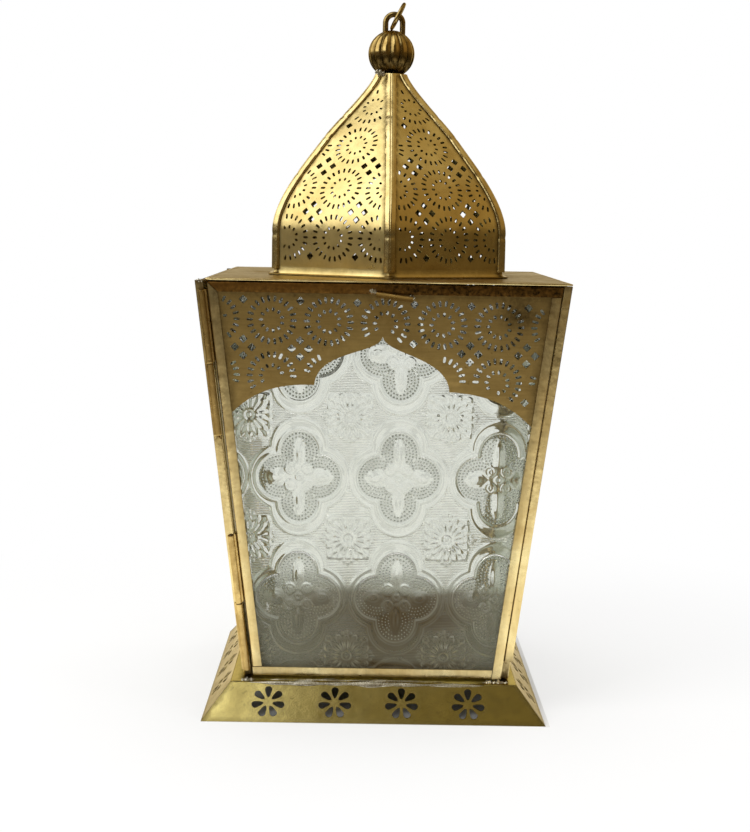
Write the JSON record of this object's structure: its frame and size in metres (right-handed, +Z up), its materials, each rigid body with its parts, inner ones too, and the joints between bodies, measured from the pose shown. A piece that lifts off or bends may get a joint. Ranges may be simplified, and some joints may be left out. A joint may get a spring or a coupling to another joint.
{
  "type": "lantern",
  "caption": "Square brass and glass lantern that widens upwards, with a pierced foot, a hinged front door, an onion dome and a hanging ring.",
  "frame": {"origin": "on the table, under the middle of the glazed body; the foot is soldered on 1.3 mm to the left of it", "axes": "+Z up through the finial, -Y out of the door, +X to the right seen from the door"},
  "size_m": [0.1951, 0.1982, 0.3899],
  "materials": {
    "foot_brass": "worn olive-gold sheet with faint rolling marks",
    "strip_brass": "folded strip, brushed along its length, tarnished at the joints",
    "pierced_brass": "pierced sheet, tarnished brown",
    "dome_brass": "pierced and bent sheet, satin, bright on the crowns",
    "rib_brass": "bright folded strip with solder at its ends",
    "hinge_brass": "rolled strip, darkened in the joints",
    "finial_brass": "polished on the crowns, dark in the grooves",
    "pin_steel": "dull wire",
    "pressed_glass": "clear glass with a pressed pattern of flowers and beaded quatrefoils"
  },
  "bodies": {
    "lantern": {"back_frame_bottom": "strip_brass", "back_frame_left": "strip_brass", "back_frame_right": "strip_brass", "back_frame_top": "strip_brass", "back_fretwork": "pierced_brass", "back_glass": "pressed_glass", "corner_post_back_left": "strip_brass", "corner_post_back_right": "strip_brass", "corner_post_front_left": "strip_brass", "corner_post_front_right": "strip_brass", "dome_neck_cup": "rib_brass", "dome_panel_back_left": "dome_brass", "dome_panel_back_right": "dome_brass", "dome_panel_front_left": "dome_brass", "dome_panel_front_right": "dome_brass", "dome_panel_left": "dome_brass", "dome_panel_right": "dome_brass", "dome_rib_back": "rib_brass", "dome_rib_front": "rib_brass", "dome_rib_left_back": "rib_brass", "dome_rib_left_front": "rib_brass", "dome_rib_right_back": "rib_brass", "dome_rib_right_front": "rib_brass", "finial_ball": "finial_brass", "finial_eye": "finial_brass", "foot_deck": "foot_brass", "foot_skirt_back": "foot_brass", "foot_skirt_front": "foot_brass", "foot_skirt_left": "foot_brass", "foot_skirt_right": "foot_brass", "hinge_cover_strip": "strip_brass", "left_frame_bottom": "strip_brass", "left_frame_left": "strip_brass", "left_frame_right": "strip_brass", "left_frame_top": "strip_brass", "left_fretwork": "pierced_brass", "left_glass": "pressed_glass", "lower_hinge_pin": "pin_steel", "lower_hinge_post_leaf": "hinge_brass", "right_frame_bottom": "strip_brass", "right_frame_left": "strip_brass", "right_frame_right": "strip_brass", "right_frame_top": "strip_brass", "right_fretwork": "pierced_brass", "right_glass": "pressed_glass", "top_plate": "strip_brass", "upper_hinge_pin": "pin_steel", "upper_hinge_post_leaf": "hinge_brass"},
    "door": {"door_bottom_rail": "strip_brass", "door_fretwork": "pierced_brass", "door_glass": "pressed_glass", "door_left_stile": "strip_brass", "door_pull": "hinge_brass", "door_right_stile": "strip_brass", "door_top_rail": "strip_brass", "lower_hinge_door_leaf": "hinge_brass", "upper_hinge_door_leaf": "hinge_brass"},
    "ring": {"hanging_ring": "finial_brass"}
  },
  "joints": [
    {"name": "door_hinge", "type": "hinge", "parent": "lantern", "child": "door", "pos_m": [-0.0697, -0.07479, 0.01777], "axis": [0.1118, 0.1118, -0.9874], "range_deg": [0, 55]},
    {"name": "ring_swing", "type": "hinge", "parent": "lantern", "child": "ring", "pos_m": [0.0029, 0, 0.3755], "axis": [0, 1, 0], "range_deg": [-142, 88]}
  ]
}
